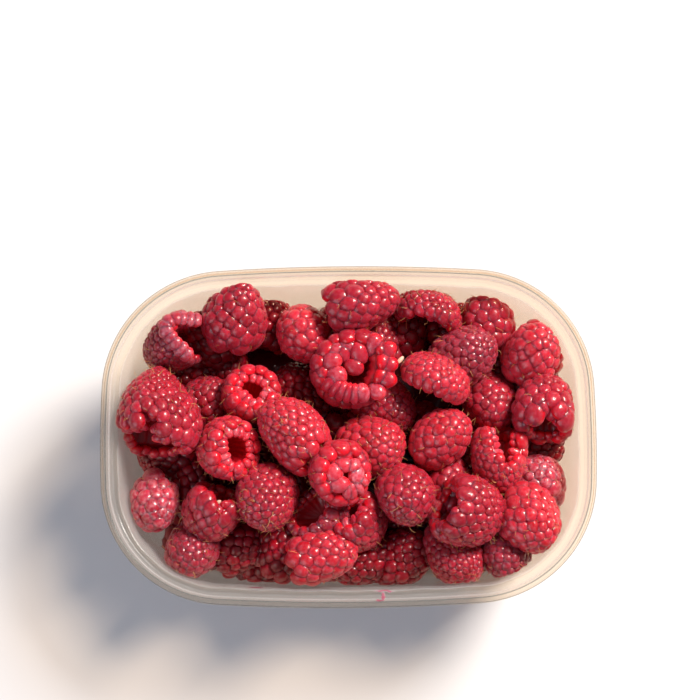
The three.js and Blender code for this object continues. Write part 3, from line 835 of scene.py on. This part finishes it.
def makeDrupelet(name, sides, angles):  # a round dome, closed below, with its height as "crown"
    points, crown = [(0, 0, 1)], [1]
    for ring, degrees in enumerate(angles):
        reach = math.sin(math.radians(degrees)) ** drupeletForm["squareness"]
        rise = math.cos(math.radians(degrees))
        for side in range(sides):
            turn = (side + ring % 2 / 2) / sides * math.tau
            points.append((reach * math.cos(turn), reach * math.sin(turn), rise))
            crown.append(max(0, rise))
    points.append((0, 0, -drupeletForm["below"]))
    crown.append(0)
    points = np.array(points) / mm  # a unit piece: its clouds give their sizes in metres
    return newMesh(name, points, ringSkin(sides, len(angles)), {"crown": ("FLOAT", crown)})


fineDrupelet = makeDrupelet("fine_drupelet", drupeletForm["fineSides"], drupeletForm["fineAngles"])
plainDrupelet = makeDrupelet("plain_drupelet", drupeletForm["plainSides"], drupeletForm["plainAngles"])
hairForm = {
    "bend": 0.42, "thickness": 0.03, "thinning": 0.55, "steps": 4, "sides": 3,  # for a hair one long
    "length": 2.5, "width": 2.6, "sink": 0.5, "beside": 0.8,
    "lean": (0.4, 1.1), "lengths": (0.6, 0.8), "curls": (0.6, 1.2),
}


def makeHair():  # a curled thread, one long along +Z
    form = hairForm
    points = [(0, 0, -0.02)]
    for step in range(form["steps"] + 1):
        t = step / form["steps"]
        x, z = form["bend"] * t * t * (1.4 - 0.6 * t), t - 0.25 * t ** 3
        across = form["thickness"] * (1 - form["thinning"] * t)
        for side in range(form["sides"]):
            turn = side / form["sides"] * math.tau
            points.append((x + across * math.cos(turn), across * math.sin(turn), z))
    points.append((form["bend"] * 0.82, 0, 0.77))
    return newMesh("hair_piece", np.array(points) / mm, ringSkin(form["sides"], form["steps"] + 1))


hairPiece = makeHair()
hairRoots = []  # place, direction and lead of every hair, gathered while the berries are made


def rootHairs(berry, seed, world, outward, leads, sizes):  # up to two hairs beside each drupelet
    for turn in range(2):
        number = np.arange(len(world)) * 2 + turn
        haired = scatter(number * 13 + seed * 7) < berry["hairs"] - turn
        spin = scatter(number * 17 + seed) * math.tau
        side = unit(np.cross(outward, leads))
        across = np.cos(spin)[:, None] * side + np.sin(spin)[:, None] * np.cross(side, outward)
        lean = scatterIn(number * 19 + seed, *hairForm["lean"])
        start = world + across * sizes[:, :1] * hairForm["beside"] + outward * sizes[:, 2:] * hairForm["sink"]
        direction = unit(outward + across * lean[:, None])
        hairRoots.append((start[haired], direction[haired], -outward[haired]))


def foldedPetals(petals):  # a lip whose petals are placed one by one
    spots, faces, runs, halves, shades = [np.array(part) for part in zip(*petals)]
    tops = np.array([berryAxes(*face, 0)[:, 2] for face in faces])
    runs = np.radians(runs)
    along = np.stack([np.cos(runs), np.sin(runs), 0 * runs], 1)
    return spots - tops * halves[:, 2:] * berryForm["sink"], facing(tops, along), halves, shades


curledForm = {
    "spacing": 2.3, "reach": 0.8, "lean": 0.35, "sink": 1.2,
    "sizes": ((1.85, 0.4), (2.1, 0.5), (1.6, 0.2)), "shade": (-0.1, -0.25),  # the least, and what varies
}


def petalsAlong(curve, seed):  # narrow petals side by side across a curve, facing up
    form, curve = curledForm, np.array(curve)
    travelled = np.concatenate([[0], np.cumsum(np.linalg.norm(np.diff(curve, axis=0), axis=1))])
    wanted = np.arange(0, travelled[-1], form["spacing"])
    at, ahead = [np.stack([np.interp(wanted + shift, travelled, curve[:, k]) for k in range(3)], 1)
                 for shift in (-form["reach"], form["reach"])]
    across = unit(np.cross(ahead - at, [0, 0, 1]))
    tops = unit(form["lean"] * across + [0, 0, 1])
    pick = [scatter(np.arange(len(wanted)) * 5 + seed + k) for k in range(2)]
    sizes = np.stack([least + span * pick[k % 2] for k, (least, span) in enumerate(form["sizes"])], 1)
    shade, span = form["shade"]
    return (at + ahead) / 2 - tops * form["sink"], facing(tops, across), sizes, shade + span * pick[1]


def finishPiece(piece, note=""):  # clear of the walls, then attached to the root, with the frame's berries hidden
    mesh = piece.data
    places = np.empty(len(mesh.vertices) * 3)
    mesh.vertices.foreach_get("co", places)
    crown = np.ones(len(mesh.vertices))
    if "crown" in mesh.attributes:
        mesh.attributes["crown"].data.foreach_get("value", crown)
    crease = 1.1 * (1 - crown)  # how far back a drupelet's edge stays where it is pressed
    places = keepInside(places.reshape(-1, 3) / mm, crease) * mm
    mesh.vertices.foreach_set("co", places.ravel())
    mesh.update()
    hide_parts("berries")
    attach(piece, "root")
    print(f"{piece.name}: {note}{sum(len(p.vertices) - 2 for p in mesh.polygons)} triangles")


def berryDrupelets(berry, axes, seed):  # one berry's drupelets, turned and put where they lie
    fields = [drupeletField(berry, axes, seed)]
    if berry["kind"] != "whole" and not berry["petals"] and not berry["band"]:
        fields.append(lipField(berry, axes, seed))
    points, normals, leads, sizes, shades = [np.concatenate(parts) for parts in zip(*fields)]
    sunk = points - normals * sizes[:, 2:] * berryForm["sink"]
    world = bendBerry(sunk, seed) @ axes.T + berry["place"]
    return world, normals @ axes.T, leads @ axes.T, sizes, shades


def makeBerries(name, berries, material, piece, seedFrom):
    # all the berries of one finish as one piece: drupelets by the tree, then the bodies joined on
    clouds, bodyPoints, bodyFaces, bodyShades = [], [], [], []
    for seed, berry in enumerate(berries, seedFrom):
        axes = berryAxes(berry["azimuth"], berry["elevation"], float(scatter(seed)) * math.pi)
        world, outward, leads, sizes, shades = berryDrupelets(berry, axes, seed)
        vary = scatterIn(np.arange(len(world)) * 3 + seed * 11, *berryForm["sizes"])
        clouds.append((world, facing(outward, leads), sizes * vary[:, None], shades))
        if berry["petals"]:
            clouds.append(foldedPetals(berry["petals"]))
        if berry["band"]:
            clouds.append(petalsAlong(berry["band"], seed))
        if piece is fineDrupelet:
            rootHairs(berry, seed, world, outward, leads, sizes)
        body, faces, shade = bodySkin(berry, axes, seed)
        start = sum(len(b) for b in bodyPoints)
        bodyPoints.append(bendBerry(body, seed) @ axes.T + berry["place"])
        bodyFaces += [[start + i for i in face] for face in faces]
        bodyShades.append(shade)
    spots, turns, sizes, shades = [np.concatenate(parts) for parts in zip(*clouds)]
    heap = scatterPieces(name, spots, turns, sizes, {
        "Piece": piece, "Unevenness": 0.5 * mm, "Lump size": 350.0, "Material": material}, shades)
    bodies = newMesh(name + "_bodies", np.vstack(bodyPoints), bodyFaces,
                     {"shade": ("FLOAT", np.concatenate(bodyShades))})
    finishFaces(bodies, material)
    with bpy.context.temp_override(active_object=heap, selected_editable_objects=[heap, bodies]):
        bpy.ops.object.join()
    finishPiece(heap, f"{len(berries)} berries, ")


seedStep = 40  # more than any piece has berries
seedFrom = 1
hiddenBelow = 28.9  # berries whose middles lie lower than this have plainer drupelets
for finish in berryFinishes:
    for opened in (False, True):
        group = [berry for berry in chosenBerries if berry["finish"] == finish
                 and (berry["kind"] != "whole") == opened and berry["place"][2] > hiddenBelow]
        if group:
            title = finish + ("_open_berries" if opened else "_berries")
            makeBerries(title, group, berryMaterials[finish], fineDrupelet, seedFrom)
            seedFrom += seedStep
coreScraps = [  # torn bits of white core: place, turn and half sizes
    ((-30, 13.4, 41.5), 20, (0.7, 0.5, 0.4)), ((-28.8, 10.4, 42), 70, (0.5, 0.4, 0.4)),
    ((-38, -18.7, 42.5), 30, (0.8, 0.6, 0.5)), ((15.4, 23, 41.5), 40, (1.6, 0.7, 0.5)),
]


def makeScraps():
    leads = [(math.cos(math.radians(turn)), math.sin(math.radians(turn)), 0) for _, turn, _ in coreScraps]
    scraps = scatterPieces("core_scraps", [place for place, _, _ in coreScraps],
                           facing([(0, 0, 1)] * len(coreScraps), leads),
                           np.array([(y, x, z) for _, _, (x, y, z) in coreScraps]),
                           {"Piece": plainDrupelet, "Unevenness": 0.9 * mm, "Lump size": 900.0,
                            "Material": scrapMaterial})
    finishPiece(scraps)


makeScraps()
lower = [berry for berry in chosenBerries if berry["place"][2] <= hiddenBelow] + lowerBerries()
half = len(lower) // 2
for number, group in enumerate((lower[:half], lower[half:])):
    # in the deep finish: painted shade for the berries low in the heap
    makeBerries(f"lower_berries_{number + 1}", group, berryMaterials["deep"], plainDrupelet, seedFrom)
    seedFrom += seedStep


def makeHairs():  # the dried styles, curled between the drupelets
    starts, directions, leads = [np.concatenate(parts) for parts in zip(*hairRoots)]
    number = np.arange(len(starts))
    length = hairForm["length"] * scatterIn(number * 23 + 5, *hairForm["lengths"])
    curl = length * scatterIn(number * 29 + 1, *hairForm["curls"])
    sizes = np.stack([curl, np.full(len(starts), hairForm["width"]), length], 1)
    hairs = scatterPieces("dried_styles", starts, facing(directions, leads), sizes, {
        "Piece": hairPiece, "Unevenness": 0.9 * mm, "Lump size": 500.0, "Material": hairMaterial})
    finishPiece(hairs, f"{len(starts)} hairs, ")


makeHairs()
heapCore = {
    "top": 23.5, "base": 5, "rings": 9, "roundness": 1.3,
    "inset": 10, "shoulder": 22, "shoulderTurn": 8,  # how far the top draws in, and how suddenly
    "swell": 1.5, "swellTurn": 1.9,
}


def makeCore():  # the unlit middle of the heap, a dark core painted in shade, so that no gap shows the bare base
    shape = heapCore
    points = [(0, 0, shape["base"])]
    for step in range(shape["rings"]):
        t = step / (shape["rings"] - 1)
        rise = math.sin(t * math.pi / 2) ** shape["roundness"]
        z = shape["base"] + (shape["top"] - shape["base"]) * rise
        inset = wallInsetAt(z) + shape["inset"] + shape["shoulder"] * t ** shape["shoulderTurn"]
        ring = plainLoop[:, :2] - inset * plainLoop[:, 2:]
        swell = shape["swell"] * np.sin(np.arange(len(ring)) * shape["swellTurn"] + step)
        points += [(x, y, z + w) for (x, y), w in zip(ring, swell * t)]
    points.append((0, 0, shape["top"]))
    # painted shade: the whole core takes the darkest colour
    core = newMesh("heap_core", points, ringSkin(len(plainLoop), shape["rings"]),
                   {"shade": ("FLOAT", np.ones(len(points)))})
    finishFaces(core, berryMaterials["deep"])
    finishPiece(core)


makeCore()
for piece in (fineDrupelet, plainDrupelet, hairPiece):
    bpy.data.objects.remove(piece)


def roundedPath(corners, steps=4, most=0.45):
    # a section with each corner (inset, z, radius, how strong a painted line it carries) rounded, by no more
    # than a share of the sides that meet there
    path = []
    for number, (x, z, radius, line) in enumerate(corners):
        here = np.array([x, z], dtype=float)
        if radius == 0 or number in (0, len(corners) - 1):
            path.append((*here, 0))
            continue
        before = np.array(corners[number - 1][:2], dtype=float) - here
        after = np.array(corners[number + 1][:2], dtype=float) - here
        reach = min(radius, most * np.hypot(*before), most * np.hypot(*after))
        start = here + before / np.hypot(*before) * reach
        end = here + after / np.hypot(*after) * reach
        for step in range(steps + 1):
            t = step / steps
            spot = (1 - t) ** 2 * start + 2 * t * (1 - t) * here + t ** 2 * end
            path.append((*spot, line * math.sin(math.pi * t)))
    return path


def tubSection():  # from under the base, up the outside, over the rim and down the inside
    shape = tubShape
    wall, height, base, skirtWall = shape["wall"], shape["height"], shape["baseThickness"], shape["skirtWall"]
    riser, wallTop, foot = shape["riserInset"], shape["wallInset"], shape["footHeight"]
    skirtFoot = height - shape["skirtHeight"]
    lip = shape["lipInset"] + shape["lipWidth"]
    lowInset = wallInsetAt(base + shape["baseFillet"])
    footEdge = lowInset + shape["baseFillet"] + shape["footWidth"]

    def filletPath(outset, floorAt, steps=8):
        radius = shape["baseFillet"] - outset
        turns = [step / steps * math.pi / 2 for step in range(steps + 1)]
        return [(lowInset - outset + radius * (1 - math.sin(t)), floorAt + radius * (1 - math.cos(t)), 0, 0)
                for t in turns]

    return roundedPath([
        (footEdge + 1, foot, 0, 0),
        (footEdge, foot, 0.4, 0),
        (footEdge - foot, 0, 0.3, 0),
        *filletPath(wall, 0),
        (wallTop - wall, ledgeHeight - wall, 0.4, 0),
        (riser - wall, ledgeHeight - wall, 0.4, 0),
        (lip - skirtWall / 2, height - wall, 0.3, 0),
        (skirtWall, height - wall, 0.3, 0),
        (skirtWall, skirtFoot, 0.2, 0),
        (0, skirtFoot, 0.2, 0),
        # positive line values paint dark lines along the rim's edges; negative ones paint a sheen down the
        # riser and a glint along the ledge's edge
        (0.05, height, 0.35, 0.8),
        (lip, height, 0.35, 0.9),
        ((lip + riser) / 2, (height + ledgeHeight) / 2, 1.5, -0.7),
        (riser, ledgeHeight, 0.8, -0.3),
        (wallTop, ledgeHeight, 0.4, -0.5),
        *filletPath(0, base)[::-1],
        (footEdge, base + foot, 0.4, 0),
        (footEdge + 1, base + foot, 0, 0),
    ])


ledgeNotches = {"pitch": 14, "width": 8.5, "depth": 0.2, "slope": 3.5, "fade": 3, "from": 0.3}


def notchAlong(loop):  # how much of a notch's depth each point of the loop has, from 0 to 1
    steps = np.linalg.norm(np.diff(np.vstack([loop, loop[:1]])[:, :2], axis=0), axis=1)
    along = np.concatenate([[0], np.cumsum(steps)[:-1]])
    pitch = steps.sum() / round(steps.sum() / ledgeNotches["pitch"])
    phase = np.abs((along / pitch) % 1 - 0.5) * pitch
    return np.clip((ledgeNotches["width"] / 2 - phase) / ledgeNotches["slope"] + 0.5, 0, 1)


def makeTub():
    loop = rimLoop(tubShape["shortSteps"], tubShape["cornerSteps"], tubShape["longSteps"])
    section, notch = tubSection(), notchAlong(loop)
    foot = tubShape["footHeight"]
    points, lines = [(0, 0, foot)], [0]
    for inset, z, line in section:
        inside = inset > tubShape["riserInset"] + ledgeNotches["from"]
        onLedge = max(0, 1 - abs(z - ledgeHeight) / ledgeNotches["fade"]) * inside
        insets = inset - onLedge * ledgeNotches["depth"] * notch
        ring = loop[:, :2] - insets[:, None] * loop[:, 2:]
        points += [(x, y, z) for x, y in ring]
        lines += [line] * len(loop)
    points.append((0, 0, tubShape["baseThickness"] + foot))
    tub = newMesh("clear_tub", points, ringSkin(len(loop), len(section)), {"line": ("FLOAT", lines + [0])})
    finishFaces(tub, plasticMaterial)
    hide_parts("tub")
    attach(tub, "root")


makeTub()
print("tub made")

stageSetting = {
    "floorHalf": 1600, "floorDrop": 0.2, "floor": "#d6d6d8", "sky": "#e6ebf8", "skyStrength": 0.25,
}


def makeFloor():
    half, z = stageSetting["floorHalf"], -stageSetting["floorDrop"]
    floor = newMesh("floor", [(-half, -half, z), (half, -half, z), (half, half, z), (-half, half, z)],
                    [(0, 1, 2, 3)])
    material, _, shader = newMaterial("pale_paper")
    setInputs(shader, {"Base Color": colour(stageSetting["floor"]), "Roughness": 0.8})
    floor.data.materials.append(material)


makeFloor()
lights = {  # azimuth and elevation that the light comes from; distance and size in metres; watts; tint
    "key": (42, 47, 1.3, 0.4, 33.5, "#fff5ea"),
    "fill": (222, 30, 1.2, 0.9, 7.5, "#eef3ff"),
}
for name, (azimuth, elevation, distance, size, power, tint) in lights.items():
    lamp = bpy.data.lights.new(name, "AREA")
    lamp.size, lamp.energy, lamp.color = size, power, colour(tint)[:3]
    holder = bpy.data.objects.new(name, lamp)
    a, e = math.radians(azimuth), math.radians(elevation)
    spot = Vector((math.cos(e) * math.cos(a), math.cos(e) * math.sin(a), math.sin(e))) * distance
    holder.location = spot
    holder.rotation_euler = spot.to_track_quat("Z", "Y").to_euler()
    bpy.context.scene.collection.objects.link(holder)

world = bpy.data.worlds.new("soft_room")
world.use_nodes = True
setInputs(world.node_tree.nodes["Background"],
          {"Color": colour(stageSetting["sky"]), "Strength": stageSetting["skyStrength"]})
bpy.context.scene.world = world
bpy.context.scene.view_settings.view_transform = "Standard"

cameraView = {
    "distance": 600, "tilt": 6.5, "pixelsPerMm": 3.45, "imageSize": 700,
    "middlePixel": (347.7, 434.7),  # where the rim's middle falls in the image
}


def makeCamera():
    view = cameraView
    tilt = math.radians(view["tilt"])
    rimMiddle = Vector((0, 0, tubShape["height"]))
    back = Vector((0, -math.sin(tilt), math.cos(tilt)))
    upward = Vector((0, math.cos(tilt), math.sin(tilt)))
    right = (view["imageSize"] / 2 - view["middlePixel"][0]) / view["pixelsPerMm"]
    up = (view["middlePixel"][1] - view["imageSize"] / 2) / view["pixelsPerMm"]
    place = rimMiddle + back * view["distance"]
    target = rimMiddle + Vector((right, 0, 0)) + upward * up
    lens = bpy.data.cameras.new("camera")
    lens.sensor_width = 36
    lens.lens = view["pixelsPerMm"] * view["distance"] * lens.sensor_width / view["imageSize"]
    lens.clip_end = 20
    camera = bpy.data.objects.new("camera", lens)
    camera.location = place * mm
    camera.rotation_euler = (target - place).to_track_quat("-Z", "Y").to_euler()
    bpy.context.scene.collection.objects.link(camera)
    bpy.context.scene.camera = camera


makeCamera()
print("stage made")
